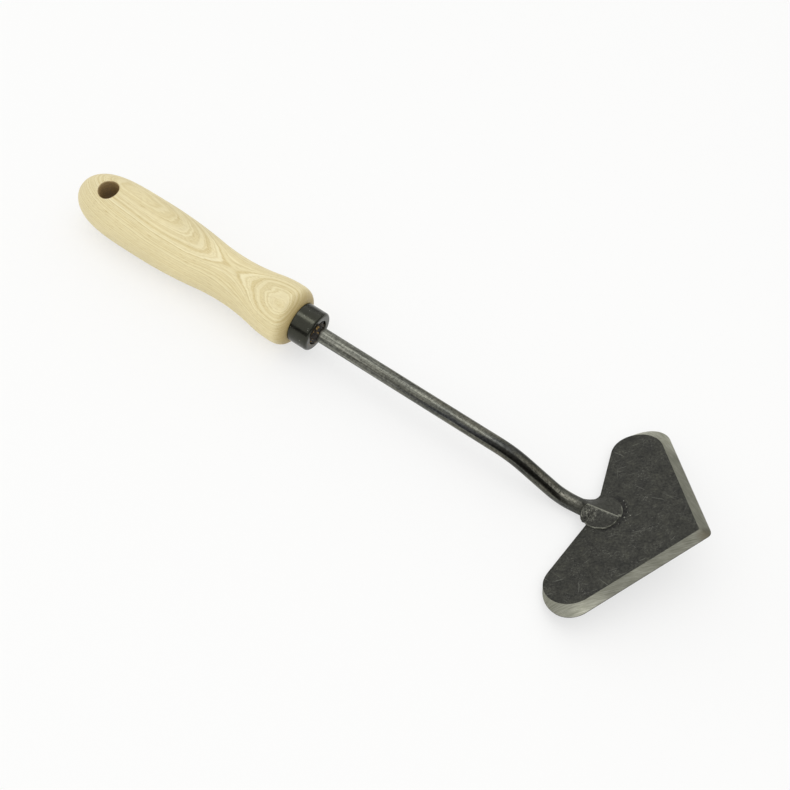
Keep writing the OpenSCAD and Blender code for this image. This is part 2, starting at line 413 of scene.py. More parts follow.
def makeAsh():
    w = ashWood
    ash, add, skin = startFinish("oiledAsh", **{"Specular IOR Level": 0.5, "IOR": 1.5})
    place = add("VectorMath", (add("TexCoord").outputs["Object"], 1000), "SCALE")
    x = add("SeparateXYZ", (place,)).outputs[0]
    # growth layers: flat sheets that twist along the handle, bow round the pith and sway
    c, s = math.cos(math.radians(w["facing"])), math.sin(math.radians(w["facing"]))
    up = add("VectorMath", (place, (0, c, s)), "DOT_PRODUCT")
    side = add("VectorMath", (place, (0, -s, c)), "DOT_PRODUCT")
    along = add("Math", (x, w["twistFrom"]), "SUBTRACT")
    roll = add("Math", (along, math.radians(w["twist"])), "MULTIPLY")
    rolled = add("Math", (roll, side, up), "MULTIPLY_ADD")
    bow = add("Math", (side, side), "MULTIPLY")
    bowed = add("Math", (bow, 0.5 / w["pith"], rolled), "MULTIPLY_ADD")
    sway = add("TexNoise", (add("VectorMath", (place, w["swayGrain"]), "MULTIPLY"), 1, 3, 0.5))
    swayed = add("Math", (sway, w["sway"], bowed), "MULTIPLY_ADD")
    # fibres pull the ring lines up and down by about 0.1 mm
    fibre = add("TexNoise", (add("VectorMath", (place, w["fibres"]), "MULTIPLY"), 1, 4, 0.62))
    layer = add("Math", (fibre, w["pull"], swayed), "MULTIPLY_ADD")
    ringCount = add("Math", (layer, w["ring"]), "DIVIDE")
    ring = add("Math", (ringCount,), "FRACT")
    tone = setRamp(add("ValToRGB", (ring,)), (0.0, "E5D9AE"), (0.08, "ECE2BA"), (0.6, "E7DBB1"),
                   (0.8, "DFD2A3"), (0.9, "CFBC87"), (0.96, "D3C28F"))
    # each year has its own depth of colour
    year = add("Math", (ringCount,), "FLOOR")
    calm = add("MapRange", (add("TexWhiteNoise", (year,), "1D"), 0, 1, 0.1, 0.75))
    colour = add("Mix", (calm, tone, "E2D5A9"), "RGBA")
    # lines of uneven width between the years
    within = add("Math", (layer, w["fineLines"]), "MULTIPLY")
    fine = add("TexNoise", (within, 1, 3, 0.65), "1D")
    fineShare = add("MapRange", (fine, 0.35, 0.56, 0.52, 0))
    colour = add("Mix", (fineShare, colour, "CDBA80"), "RGBA")
    # pores and fibre: noise drawn out along the grain, with more pores late in the year
    pore = add("TexNoise", (add("VectorMath", (place, w["pores"]), "MULTIPLY"), 1, 2, 0.5))
    late = add("MapRange", (ring, 0.4, 0.95, 0.45, 1))
    pores = add("Math", (add("MapRange", (pore, 0.54, 0.68)), late), "MULTIPLY")
    grainLevel = add("MapRange", (fibre, 0.25, 0.75, 0.96, 1.06))
    colour = add("VectorMath", (colour, grainLevel), "SCALE")
    poreShare = add("Math", (pores, 0.62), "MULTIPLY")
    colour = add("Mix", (poreShare, colour, "C0A96D"), "RGBA")
    patch = add("TexNoise", (add("VectorMath", (place, w["patches"]), "MULTIPLY"), 1, 1))
    patchLevel = add("MapRange", (patch, 0.3, 0.7, 1, 1.09))
    colour = add("VectorMath", (colour, patchLevel), "SCALE")
    # deeper yellow where the shoulder meets the ferrule: partly a real stain, partly painted shade in the
    # corner against the ferrule
    stainAndShade = add("MapRange", (x, w["stainShadeFrom"], w["stainShadeTo"], 0, 0.92), "SMOOTHSTEP")
    colour = add("Mix", (stainAndShade, colour, "BEB294"), "RGBA", blend_type="MULTIPLY")
    # rough end grain in the hang hole, browner from the drill
    own = add("Attribute", (), "ownFrame").outputs["Vector"]
    offAxis = add("VectorMath", (own, (1000, 1000, 0)), "MULTIPLY")
    fromHole = add("VectorMath", (offAxis,), "LENGTH")
    drilled = add("MapRange", (fromHole, grip["holeR"] - 0.05, grip["holeR"] + 0.6, 1, 0), "SMOOTHSTEP")
    inHole = add("Math", (drilled, 0.72), "MULTIPLY")
    wallTone = setRamp(add("ValToRGB", (fibre,)), (0.36, "4E3518"), (0.5, "8E6A3A"), (0.64, "B08B52"))
    colour = add("Mix", (inHole, colour, wallTone), "RGBA")
    # torn, oily fibres in the ferrule's mouth
    torn = add("TexNoise", (place, 0.6, 3, 0.6))
    tornTone = setRamp(add("ValToRGB", (torn,)), (0.48, "120D06"), (0.6, "2A1E0D"), (0.66, "A3823E"))
    mouth = add("MapRange", (x, w["mouth"], w["mouth"] + 1))
    colour = add("Mix", (mouth, colour, tornTone), "RGBA")
    matt = add("MapRange", (fibre, 0.3, 0.7, 0.44, 0.58))
    relief = add("Math", (fibre, pores), "SUBTRACT")
    bump = add("Bump", {"Strength": 0.25, "Distance": 0.00006, "Height": relief})
    fillNode(skin, {"Base Color": colour, "Roughness": matt, "Normal": bump})
    return ash


oiledAsh = makeAsh()
ashHandle = addPiece("ashHandle", makeGrip(), [oiledAsh])
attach(ashHandle, "root")
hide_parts("handle")


# Ferrule: a pressed steel cap with a rolled front edge and an open mouth
cap = dict(rear=121.0, front=132.5, r=10.7, wall=1.8, mouthR=6.75, mouthEdge=0.45, lip=2.0, rearEdge=0.3,
           rimR=1.5, sides=160, spacing=0.16)


# its section with round corners, turned about the X axis
def makeCap():
    c = cap
    inner = c["r"] - c["wall"]
    profile = np.concatenate([
        [(c["rear"], inner), (c["rear"], c["r"] - c["rearEdge"])],
        roundCorner((c["rear"] + c["rearEdge"], c["r"] - c["rearEdge"]), c["rearEdge"], 180, 90, 6),
        roundCorner((c["front"] - c["rimR"], c["r"] - c["rimR"]), c["rimR"], 90, 0, 16),
        roundCorner((c["front"] - c["mouthEdge"], c["mouthR"] + c["mouthEdge"]), c["mouthEdge"], 0, -90, 8),
        [(c["front"] - c["lip"], c["mouthR"]), (c["front"] - c["lip"], inner), (c["rear"], inner)],
    ])
    return [band(turnProfile(profile, c["spacing"], fullTurn(c["sides"])))]


# Steel with a black oxide and lacquer: near black, a soft sheen, grey where the front rim has worn, a few pale
# specks 0.5 mm across, and wood pitch smeared over the lip on its right side. Places in mm, specks per mm.
lacquer = dict(specks=0.55, rimFrom=130.7, rimTo=132.1, lipFrom=7.6, lipTo=9.0, smearSide=(0, -0.92, -0.39),
               smearFrom=1.0, smearTo=4.0)


def makeLacquer():
    q = lacquer
    black, add, skin = startFinish("blackLacquer", **{"Specular IOR Level": 0.46, "Specular Tint": "FDFFE6"})
    place = add("VectorMath", (add("TexCoord").outputs["Object"], 1000), "SCALE")
    cloud = add("TexNoise", (place, 0.35, 5, 0.65))
    tone = setRamp(add("ValToRGB", (cloud,)), (0.3, "11110E"), (0.55, "1B1B17"), (0.75, "2A2A25"))
    cells = add("TexVoronoi", (place, q["specks"]))
    dot = add("MapRange", (cells, 0.10, 0.16, 1, 0))
    pick = add("SeparateColor", (cells.outputs["Color"],)).outputs[0]
    rare = add("Math", (pick, 0.72), "GREATER_THAN")
    speck = add("Math", (dot, rare), "MULTIPLY")
    colour = add("Mix", (speck, tone, "8E8F88"), "RGBA")
    x = add("SeparateXYZ", (place,)).outputs[0]
    rim = add("MapRange", (x, q["rimFrom"], q["rimTo"]), "SMOOTHSTEP")
    scuff = add("MapRange", (cloud, 0.35, 0.6, 0.25, 0.95))
    bare = add("Math", (rim, scuff), "MULTIPLY")
    colour = add("Mix", (bare, colour, "22221F"), "RGBA")
    # pitch and fibre over the lip
    across = add("VectorMath", (place, (0, 1, 1)), "MULTIPLY")
    fromAxis = add("VectorMath", (across,), "LENGTH")
    lip = add("MapRange", (fromAxis, q["lipFrom"], q["lipTo"], 1, 0), "SMOOTHSTEP")
    nearSide = add("VectorMath", (place, q["smearSide"]), "DOT_PRODUCT")
    smear = add("MapRange", (nearSide, q["smearFrom"], q["smearTo"]))
    smear = add("Math", (smear, lip), "MULTIPLY")
    torn = add("TexNoise", (place, 1.1, 3, 0.6))
    pitchTone = setRamp(add("ValToRGB", (torn,)), (0.42, "120D07"), (0.55, "2E2110"), (0.66, "8A6B2E"))
    colour = add("Mix", (smear, colour, pitchTone), "RGBA")
    gloss = add("MapRange", (cloud, 0.3, 0.7, 0.15, 0.27))
    fine = add("TexNoise", (place, 1.3, 3))
    bump = add("Bump", {"Strength": 0.3, "Distance": 0.00004, "Height": fine})
    fillNode(skin, {"Base Color": colour, "Roughness": gloss, "Normal": bump})
    return black


blackLacquer = makeLacquer()
ferruleCap = addPiece("ferruleCap", makeCap(), [blackLacquer], 40)
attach(ferruleCap, "root")
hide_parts("ferrule")

# Shank: 8 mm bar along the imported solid's own line, then a palm forged flat on the blade
bar = dict(r=4.0, tangEnd=62.5, mouth=132.5, dropStart=239.5, dropR=40.0, riseR=34.0, neck=16.5, end=5.0,
           drop=21.5, rise=12.5, turn=5.2, pitch=29.5, sides=160, straightSteps=400, lean=9)
turn, pitch = math.radians(bar["turn"]), math.radians(bar["pitch"])


# unit direction of the bar after it has turned aside, at a slope in radians
def heading(slope):
    slope = np.asarray(slope, float)
    return np.stack([np.cos(slope) * math.cos(turn), np.cos(slope) * math.sin(turn), np.sin(slope)], -1)


# points along the bar and the distance run: straight, a rolled bend down, straight, a bend up, straight
def makeLine():
    b, steps = bar, bar["straightSteps"]
    drop, rise = math.radians(b["drop"]), math.radians(b["rise"])
    bend = math.acos(math.cos(drop) * math.cos(turn))
    roll = math.atan2(math.cos(drop) * math.sin(turn), math.sin(drop))
    start = np.array([b["dropStart"], 0, 0])
    a = np.linspace(0, bend, 120)
    bow = np.stack([np.sin(a), (1 - np.cos(a)) * math.sin(roll), (np.cos(a) - 1) * math.cos(roll)], -1)
    down = start + b["dropR"] * bow
    slope = down[-1] + np.linspace(0, b["neck"], 60)[:, None] * heading(-drop)
    s = np.linspace(-drop, rise, 120)
    lift = b["riseR"] * (np.sin(s) + math.sin(drop))
    climb = b["riseR"] * (math.cos(drop) - np.cos(s))
    up = slope[-1] + np.stack([lift * math.cos(turn), lift * math.sin(turn), climb], -1)
    end = up[-1] + np.linspace(0, b["end"], 30)[:, None] * heading(rise)
    straight = np.zeros((steps, 3))
    straight[:, 0] = np.linspace(b["tangEnd"], b["dropStart"], steps)
    line = np.concatenate([straight, down[1:], slope[1:], up[1:], end[1:]])
    run = np.concatenate([[0], np.cumsum(np.linalg.norm(np.diff(line, axis=0), axis=1))])
    return line, run


line, run = makeLine()
seat = line[-1]
bladeU = heading(pitch)
bladeV = np.array([-math.sin(turn), math.cos(turn), 0])
bladeW = np.cross(bladeU, bladeV)
# how far the line lies ahead of the seat along the blade, and the seat's own place along the bar from the mouth
toSeat = (line - seat) @ bladeU
seatAlong = run[-1] + bar["tangEnd"] - bar["mouth"]
bentPart = slice(bar["straightSteps"], None)


# blade coordinates in mm, forward, left and up from the middle of the blade's rear edge, to the part's frame
def fromBlade(u, v, w):
    u, v, w = np.broadcast_arrays(u, v, w)
    return seat + u[..., None] * bladeU + v[..., None] * bladeV + w[..., None] * bladeW


# Palm in blade coordinates. Its left and right halves have their own rims, edges, tent powers and depths to
# which the bar's top sinks away.
palm = dict(start=-15.0, flareStart=-14.0, flareLength=15.5, flare=6.6, flareSoft=0.08, middle=2.3, leftR=10.7,
            rightMiddle=3.4, rightR=8.35, rightOffset=1.7, rightFade=9.6, leftEdge=0.3, rightEdge=0.15,
            edgeR=0.7, sunk=0.15, ridge=3.85, rightLower=0.35, fall=0.3057, flatFrom=-3.0, hookHeight=0.35,
            leftPower=1.25, rightPower=1.6, leftSink=3.2, rightSink=3.4)


# bar: circles square to the line; the last 9 mm lean over until they stand square to the blade
def makeBar(phi):
    b, straight = bar, slice(0, bar["straightSteps"])
    last = np.interp(palm["start"], toSeat[bentPart], run[bentPart])
    fine = np.interp(b["dropStart"] - 2, line[straight, 0], run[straight])
    stations = np.concatenate([np.linspace(0, fine, 90), np.linspace(fine, last, 110)[1:]])
    onLine = lambda s: np.stack([np.interp(s, run, line[:, k]) for k in range(3)], -1)
    centre = onLine(stations)
    along = onLine(stations + 0.4) - onLine(stations - 0.4)
    along /= np.linalg.norm(along, axis=1, keepdims=True)
    left = np.cross([0, 0, 1], along)
    left /= np.linalg.norm(left, axis=1, keepdims=True)
    up = np.cross(along, left)
    rCos, rSin = b["r"] * np.cos(phi), b["r"] * np.sin(phi)
    lean = ease(stations, last - b["lean"], last)[:, None] * (-(up @ bladeU) / (along @ bladeU))[:, None] * rSin
    tube = centre[:, None] + left[:, None] * rCos[:, None] + up[:, None] * rSin[:, None]
    tube = tube + along[:, None] * lean[..., None]
    # along, left and up as if the bar were straight, with 0 at the ferrule's mouth
    own = np.stack(np.broadcast_arrays((stations + b["tangEnd"] - b["mouth"])[:, None], rCos, rSin), -1)
    tang = np.repeat(centre[:1, None], len(phi), 1)
    return band(np.concatenate([tang, tube]), np.concatenate([own[:1], own]))


# palm: sections across the blade, each half a tent (1 - share)^1.25 or 1.6 from rim to crest that takes over
# from the bar's circle. The left half flares out to a round rim, and the right half stays low, under the leaf.
def makePalm(phi):
    b, p = bar, palm
    toe = p["middle"] + p["leftR"] - 0.004
    u = (p["start"] + (toe - p["start"]) * np.sin(np.linspace(0, math.pi / 2, 200)))[:, None]
    lineW = (line[bentPart] - seat) @ bladeW
    w0 = np.where(u < 0, np.interp(u, toSeat[bentPart], lineW), -p["fall"] * u)
    slopeAt = np.where(u < 0, np.interp(u, toSeat[bentPart], np.gradient(lineW, toSeat[bentPart])), -p["fall"])
    tall = b["r"] * np.sqrt(1 + slopeAt ** 2)
    across, rise = np.cos(phi)[None], np.sin(phi)[None]
    leftSide, share = across > 0, np.abs(np.cos(phi))[None]
    # half widths: the flare into the left rim's arc, and the right rim's arc set off to the side
    t = np.clip((u - p["flareStart"]) / p["flareLength"], 0, 2)
    flare = b["r"] + p["flare"] * (1 + p["flareSoft"]) * t * t / (t + p["flareSoft"])
    leftRim = -roundedMax(-flare, -safeRoot(p["leftR"] ** 2 - np.clip(u - p["middle"], 0, None) ** 2), 1.2)
    fromMiddle = u - p["rightMiddle"]
    rightRim = safeRoot(p["rightR"] ** 2 - fromMiddle ** 2)
    rightRim = np.where(fromMiddle < 0, roundedMax(b["r"], rightRim + p["rightOffset"], 1.0),
                        rightRim + p["rightOffset"] * safeRoot(1 - (fromMiddle / p["rightFade"]) ** 2))
    width = np.where(leftSide, leftRim, rightRim)
    v = width * across
    # heights of the rim and the crest, and of the bar's top as it sinks away
    change = ease(u, p["flareStart"], p["flatFrom"])
    rimLow = (1 - change) * w0 - change * p["sunk"]
    rimTop = (1 - change) * w0 + change * np.where(leftSide, p["leftEdge"], p["rightEdge"])
    crest = np.maximum(p["ridge"] - p["fall"] * u - np.where(leftSide, 0, p["rightLower"]), rimTop + 0.02)
    tent = rimTop + (crest - rimTop) * (1 - share) ** np.where(leftSide, p["leftPower"], p["rightPower"])
    sunkBar = np.where(leftSide, p["leftSink"] * ease(u, -7.0, -0.5), p["rightSink"] * ease(u, -6.4, -2.0))
    barTop = w0 + tall * safeRoot(1 - (v / b["r"]) ** 2) - sunkBar - 6 * (np.abs(v) >= b["r"])
    body = roundedMax(tent, barTop, np.where(leftSide, 1.6, 0.5) * ease(u, p["flareStart"], -7.0) + 1e-6)
    # hammered all over, with a raised hook at the toe and a round edge
    fromRim = width * (1 - share)
    calm = 0.06 * lumps(u, v, 1.9, 14) + 0.035 * lumps(u, v, 0.7, 15)
    body = body + change * calm * ease(fromRim, 0, 1.5)
    hook = ease(u, 10.2, 11.6) * leftSide * bell(fromRim, 0.5, 0.5)
    hook = np.maximum(hook, ease(u, 10.9, 11.8) * bell(v, 0.1, 0.45))
    body = body + p["hookHeight"] * hook
    roundOff = 1 - change * (1 - safeRoot(1 - np.clip((p["edgeR"] - fromRim) / p["edgeR"], 0, 1) ** 2))
    topW = rimLow + (body - rimLow) * roundOff
    # underside: the bar's lower half as far as the blade's rear edge, then a flat that lies in the blade
    hug = change * share ** 6
    below = ease(u, -0.4, 1.4)
    lowV = np.sign(across) * share * ((1 - hug) * b["r"] + hug * width)
    lowW = (1 - hug) * (w0 + tall * rise) + hug * rimLow
    lowV = (1 - below) * lowV + below * v
    lowW = (1 - below) * lowW - below * p["sunk"]
    onTop = rise >= -1e-9
    palmV, palmW = np.where(onTop, v, lowV), np.where(onTop, topW, lowW)
    forged = fromBlade(u, palmV, palmW)
    own = np.stack(np.broadcast_arrays(seatAlong + u, palmV, palmW - w0), -1)
    tip = np.repeat(forged[-1:].mean(1, keepdims=True), len(phi), 1)
    worn = np.where(onTop, hook, 0.0)
    return band(*(np.concatenate(both) for both in ((forged, tip), (own, own[-1:]), (worn, worn[-1:]))))


# The palm's right half is a leaf folded flat on the blade. It is ruled from the ridge to a round rim that
# climbs over the bar at the heel, a little hollow between them, with a thin burr along the ridge and the rim.
leaf = dict(middle=(3.4, -1.7), r=8.55, toe=8.0, heel=-195.0, ridgeStart=(-3.2, 0.1, 5.1),
            ridgeEnd=(11.8, -0.5, 0.5), low=0.5, climb=4.6, hollow=0.5, burr=0.2, thick=0.9, rough=0.6,
            roughSpot=(-1.2, -3.6), roughR=3.7)


# rim: middle + r (cos a, sin a), bulged and uneven; a point of the leaf is ridge + (rim - ridge) s
def makeLeaf():
    f = leaf
    a = np.linspace(f["toe"], f["heel"], 240)[:, None]
    s = (1 - np.cos(np.linspace(0, math.pi, 72)))[None] / 2
    r = f["r"] + 0.5 * bell(a, -42, 22) + 0.45 * bell(a, -158, 14) - 1.75 * ease(-a, 168, 195)
    uneven = 0.2 * lumps(0.15 * a, 0 * a, 2.2, 22) + 0.1 * lumps(0.15 * a, 0 * a, 0.9, 23)
    r = r + ease(-a, -8, 14) * ease(-a, 195, 170) * uneven
    turned = np.radians(a)
    rim = [f["middle"][0] + r * np.cos(turned), f["middle"][1] + r * np.sin(turned),
           f["low"] + f["climb"] * ease(-a, 125, 195)]
    q = (1 + np.cos(math.pi * (f["toe"] - a) / (f["toe"] - f["heel"]))) / 2
    ridge = [m + (n - m) * q for m, n in zip(f["ridgeStart"], f["ridgeEnd"])]
    u, v, w = (m + (n - m) * s for m, n in zip(ridge, rim))
    span = np.hypot(rim[0] - ridge[0], rim[1] - ridge[1])
    fromEdge, fromRidge = span * np.minimum(s, 1 - s), span * s
    hollow = f["hollow"] * np.sin(math.pi * s) * span / 9
    burr = f["burr"] * bell(fromEdge, 0.2, 0.2) * (1 + 0.4 * lumps(u, v, 1.1, 16))
    fromSpot = (u - f["roughSpot"][0]) ** 2 + (v - f["roughSpot"][1]) ** 2
    patch = np.exp(-(fromSpot / f["roughR"] ** 2) ** 2) * ease(fromEdge, 0, 0.6)
    grit = 0.6 * lumps(u, v, 1.5, 11) + 0.45 * lumps(u, v, 0.7, 12) + 0.25 * lumps(u, v, 0.36, 13)
    top = w - hollow + burr + f["rough"] * patch * grit + 0.03 * lumps(u, v, 0.8, 17) * ease(fromEdge, 0, 0.6)
    # the loop goes over the top from ridge to rim and back below, so that the leaf is a closed plate
    back = slice(None, None, -6)
    loopU, loopV = (np.concatenate([m, m[:, back]], 1) for m in (u, v))
    loopW = np.concatenate([top, (w - hollow - f["thick"])[:, back]], 1)
    # worn bright along the edges, the ridge and the rough spot; below 0 where it is pitted
    worn = bell(fromEdge, 0.12, 0.3) * np.clip(0.6 + 0.8 * lumps(u, v, 1.5, 18), 0, 1)
    speckle = lumps(u, v, 0.55, 19) + 0.6 * lumps(u, v, 0.28, 20)
    alongRidge = bell(fromRidge, 0, 2.2)
    worn = worn + 0.75 * np.clip(speckle - 0.15, 0, 1) * np.maximum(patch, alongRidge) + 0.55 * patch * grit
    worn = worn - 0.25 * (1 - patch) * (1 - alongRidge) * ease(fromEdge, 0.3, 1.6)
    worn = worn + 0.55 * bell(fromRidge, 0.2, 0.4) * (0.8 + 0.4 * lumps(u, v, 1.2, 26))
    worn = worn + (0.22 * lumps(u, v, 0.5, 24) + 0.16 * lumps(u, v, 0.26, 25)) * ease(fromEdge, 0.1, 0.6)
    worn = np.concatenate([worn, 0 * worn[:, back]], 1)
    own = np.stack([seatAlong + loopU, loopV, loopW], -1)
    return band(fromBlade(loopU, loopV, loopW), own, worn)


# Hot-rolled bar: grey where hammer and hands have rubbed it near the ferrule, dark scale further on, streaks
# drawn along the bar 0.9 mm apart, brown haze, a painted dark reflection in blue-black and a painted pale
# highlight above it. Places are mm along the bar from the mouth.
forgedBar = dict(streaks=(0.035, 1.1, 1.1), clouds=(0.05, 0.3, 0.3), rubbedTo=105.0, burntFrom=149.0,
                 burntTo=161.0, webFrom=3.2, webTo=5.5, nearTurn=72, neckTurn=52, highlightAbove=0.54, darkest=122.0)


def makeForged():
    q = forgedBar
    forged, add, skin = startFinish("forgedScale", **{"Specular IOR Level": 0.25})
    own = add("Attribute", (), "ownFrame").outputs["Vector"]
    place = add("VectorMath", (own, 1000), "SCALE")
    along, left, up = add("SeparateXYZ", (place,)).outputs
    streak = add("TexNoise", (add("VectorMath", (place, q["streaks"]), "MULTIPLY"), 1, 5, 0.62))
    grain = add("TexNoise", (place, 0.9, 5, 0.7))
    cloud = add("TexNoise", (add("VectorMath", (place, q["clouds"]), "MULTIPLY"), 1, 3))
    scale = setRamp(add("ValToRGB", (cloud,)),
                    (0.3, "474846"), (0.48, "57574F"), (0.62, "666459"), (0.78, "747060"))
    rubbed = setRamp(add("ValToRGB", (streak,)),
                     (0.3, "464743"), (0.46, "66675F"), (0.6, "87877D"), (0.74, "ABAA9E"))
    near = add("MapRange", (along, 0, q["rubbedTo"], 0.95, 0))
    uneven = add("MapRange", (streak, 0.3, 0.7, -0.3, 0.3))
    wear = add("Math", (near, uneven), "ADD", use_clamp=True)
    colour = add("Mix", (wear, scale, rubbed), "RGBA")
    # burnt dull near the blade
    burnt = add("MapRange", (along, q["burntFrom"], q["burntTo"]), "SMOOTHSTEP")
    web = add("MapRange", (left, q["webFrom"], q["webTo"]), "SMOOTHSTEP")
    burnt = add("Math", (burnt, web), "MAXIMUM")
    # painted dark reflection: a blue-black band turned from the top to the right,
    # 72 degrees near the ferrule and 52 at the neck
    right = add("Math", (left, -1), "MULTIPLY")
    around = add("Math", (right, up), "ARCTAN2")
    middle = add("MapRange", (along, 40, 105, math.radians(q["nearTurn"]), math.radians(q["neckTurn"])))
    offMiddle = add("Math", (around, middle), "SUBTRACT")
    above = add("Math", (offMiddle, q["highlightAbove"]), "ADD")
    above = add("Math", (above,), "ABSOLUTE")
    offMiddle = add("Math", (offMiddle,), "ABSOLUTE")
    ragged = add("Math", (streak, 0.45, offMiddle), "MULTIPLY_ADD")
    spread = add("MapRange", (along, 40, 120, 0.36, 0.57))
    darkReflection = add("Math", (spread, ragged), "SUBTRACT")
    darkReflection = add("MapRange", (darkReflection, -0.08, 0.1), "SMOOTHSTEP")
    depth = add("MapRange", (along, 15, 100, 0.15, 0.85))
    fade = add("MapRange", (along, 146, 157, 1, 0))
    for share in (depth, fade):
        darkReflection = add("Math", (darkReflection, share), "MULTIPLY")
    onNeck = add("MapRange", (along, 85, 110))
    darkReflectionTone = add("Mix", (onNeck, "36383F", "201F1C"), "RGBA")
    colour = add("Mix", (darkReflection, colour, darkReflectionTone), "RGBA")
    # painted highlight: a pale, grainy band above the painted dark reflection on the neck
    paleHighlight = add("MapRange", (above, 0.08, 0.3, 1, 0), "SMOOTHSTEP")
    highlightStart = add("MapRange", (along, 114, 136))
    grainy = add("MapRange", (grain, 0.42, 0.6, 0.15, 0.8))
    for share in (highlightStart, grainy):
        paleHighlight = add("Math", (paleHighlight, share), "MULTIPLY")
    colour = add("Mix", (paleHighlight, colour, "98968A"), "RGBA")
    colour = add("Mix", (burnt, colour, "3A3A34"), "RGBA")
    # flecked all over, darkest half way down the neck; the folded leaf stores pits as worn edges below 0
    level = add("MapRange", (grain, 0.35, 0.7, 0.58, 1.65))
    toNeck = add("Math", (along, q["darkest"]), "SUBTRACT")
    toNeck = add("Math", (toNeck,), "ABSOLUTE")
    darker = add("MapRange", (toNeck, 7, 22, 0.7, 1.02))
    worn = add("Attribute", (), "wornEdge").outputs["Fac"]
    pit = add("MapRange", (worn, -0.6, 0, 0.3, 1))
    for share in (darker, pit):
        level = add("Math", (level, share), "MULTIPLY")
    colour = add("VectorMath", (colour, level), "SCALE")
    colour = add("Mix", (worn, colour, "8E8E82"), "RGBA")
    # pitch from the handle on the first 3 mm, and painted shade where the bar leaves the ferrule's mouth
    ragged = add("Math", (grain, -3, along), "MULTIPLY_ADD")
    pitchAndShade = add("MapRange", (ragged, 0.6, 1.9, 0.92, 0))
    colour = add("Mix", (pitchAndShade, colour, "1D160B"), "RGBA")
    metal = add("Mix", (burnt, add("MapRange", (wear, 0, 1, 1, 0.45)), 0.15))
    gloss = add("Mix", (burnt, add("MapRange", (grain, 0.3, 0.7, 0.26, 0.4)), 0.5))
    relief = add("Math", (grain, streak), "ADD")
    bump = add("Bump", {"Strength": 0.35, "Distance": 0.00012, "Height": relief})
    fillNode(skin, {"Base Color": colour, "Metallic": metal, "Roughness": gloss, "Normal": bump})
    return forged


forgedScale = makeForged()
roundBar = fullTurn(bar["sides"])
forgedShank = addPiece("forgedShank", [makeBar(roundBar), makePalm(roundBar)], [forgedScale])
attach(forgedShank, "root")
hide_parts("shank")
palmLeaf = addPiece("palmLeaf", [makeLeaf()], [forgedScale], 50)
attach(palmLeaf, "root")

# Blade: a heart-shaped plate, ground from above along its two front edges and round the wings
plate = dict(width=124.0, depth=64.2, thick=2.4, edgeAngle=55.7, grind=4.7, land=0.4, tipR=3.6, wingFrontR=11.0,
             wingBackR=18.4, groundR=13.0, backSlope=10.7, groundTipR=0.25, topEdge=0.12, lowEdge=0.1,
             middle=(22.0, 0.0), wave=0.05, waveLength=17)


# half outlines of the cutting edge and of the unground face, from the tip to the middle of the rear edge, point
# for point at equal outward directions; mm from the sharp tip, back along -x
def makeOutlines():
    p = plate
    e, slope = math.radians(p["edgeAngle"]), math.radians(p["backSlope"])
    half, first = p["width"] / 2, math.pi / 2 - e
    frontY = half - p["wingFrontR"]
    front = np.array([-(p["wingFrontR"] + frontY * math.cos(e)) / math.sin(e), frontY])
    backX, reach = p["wingBackR"] - p["depth"], p["wingBackR"] - p["wingFrontR"]
    back = np.array([backX, front[1] - math.sqrt(reach ** 2 - (backX - front[0]) ** 2)])
    turnAt = math.atan2(front[1] - back[1], front[0] - back[0])
    groundX = p["groundR"] - p["depth"]
    ground = np.array([groundX, -(groundX * math.sin(e) + p["grind"] + p["groundR"]) / math.cos(e)])
    ray = lambda a: np.stack([np.cos(a), np.sin(a)], -1)
    tipA, wingA = np.linspace(0, first, 7), np.linspace(first, math.pi, 64)
    tipEdge = np.array([-p["tipR"] / math.sin(e), 0]) + p["tipR"] * ray(tipA)
    tipFace = np.array([-(p["grind"] + p["groundTipR"]) / math.sin(e), 0]) + p["groundTipR"] * ray(tipA)
    wingEdge = np.where((wingA < turnAt)[:, None], front + p["wingFrontR"] * ray(wingA),
                        back + p["wingBackR"] * ray(wingA))
    wingFace = ground + p["groundR"] * ray(wingA)
    t = np.linspace(0, 1, 60)[1:-1, None]
    between = lambda a, b: a + (b - a) * t
    hollow = back + p["wingBackR"] * ray(np.linspace(math.pi, math.pi + slope, 9))[1:]
    rear = np.array([hollow[-1][0] + hollow[-1][1] * math.tan(slope), 0])
    backLine = np.concatenate([hollow, between(hollow[-1], rear), [rear]])
    edge = np.concatenate([tipEdge, between(tipEdge[-1], wingEdge[0]), wingEdge, backLine])
    face = np.concatenate([tipFace, between(tipFace[-1], wingFace[0]), wingFace, backLine])
    mirror = lambda h: np.concatenate([h, h[-2:0:-1] * [1, -1]]) - [rear[0], 0]
    return mirror(edge), mirror(face)


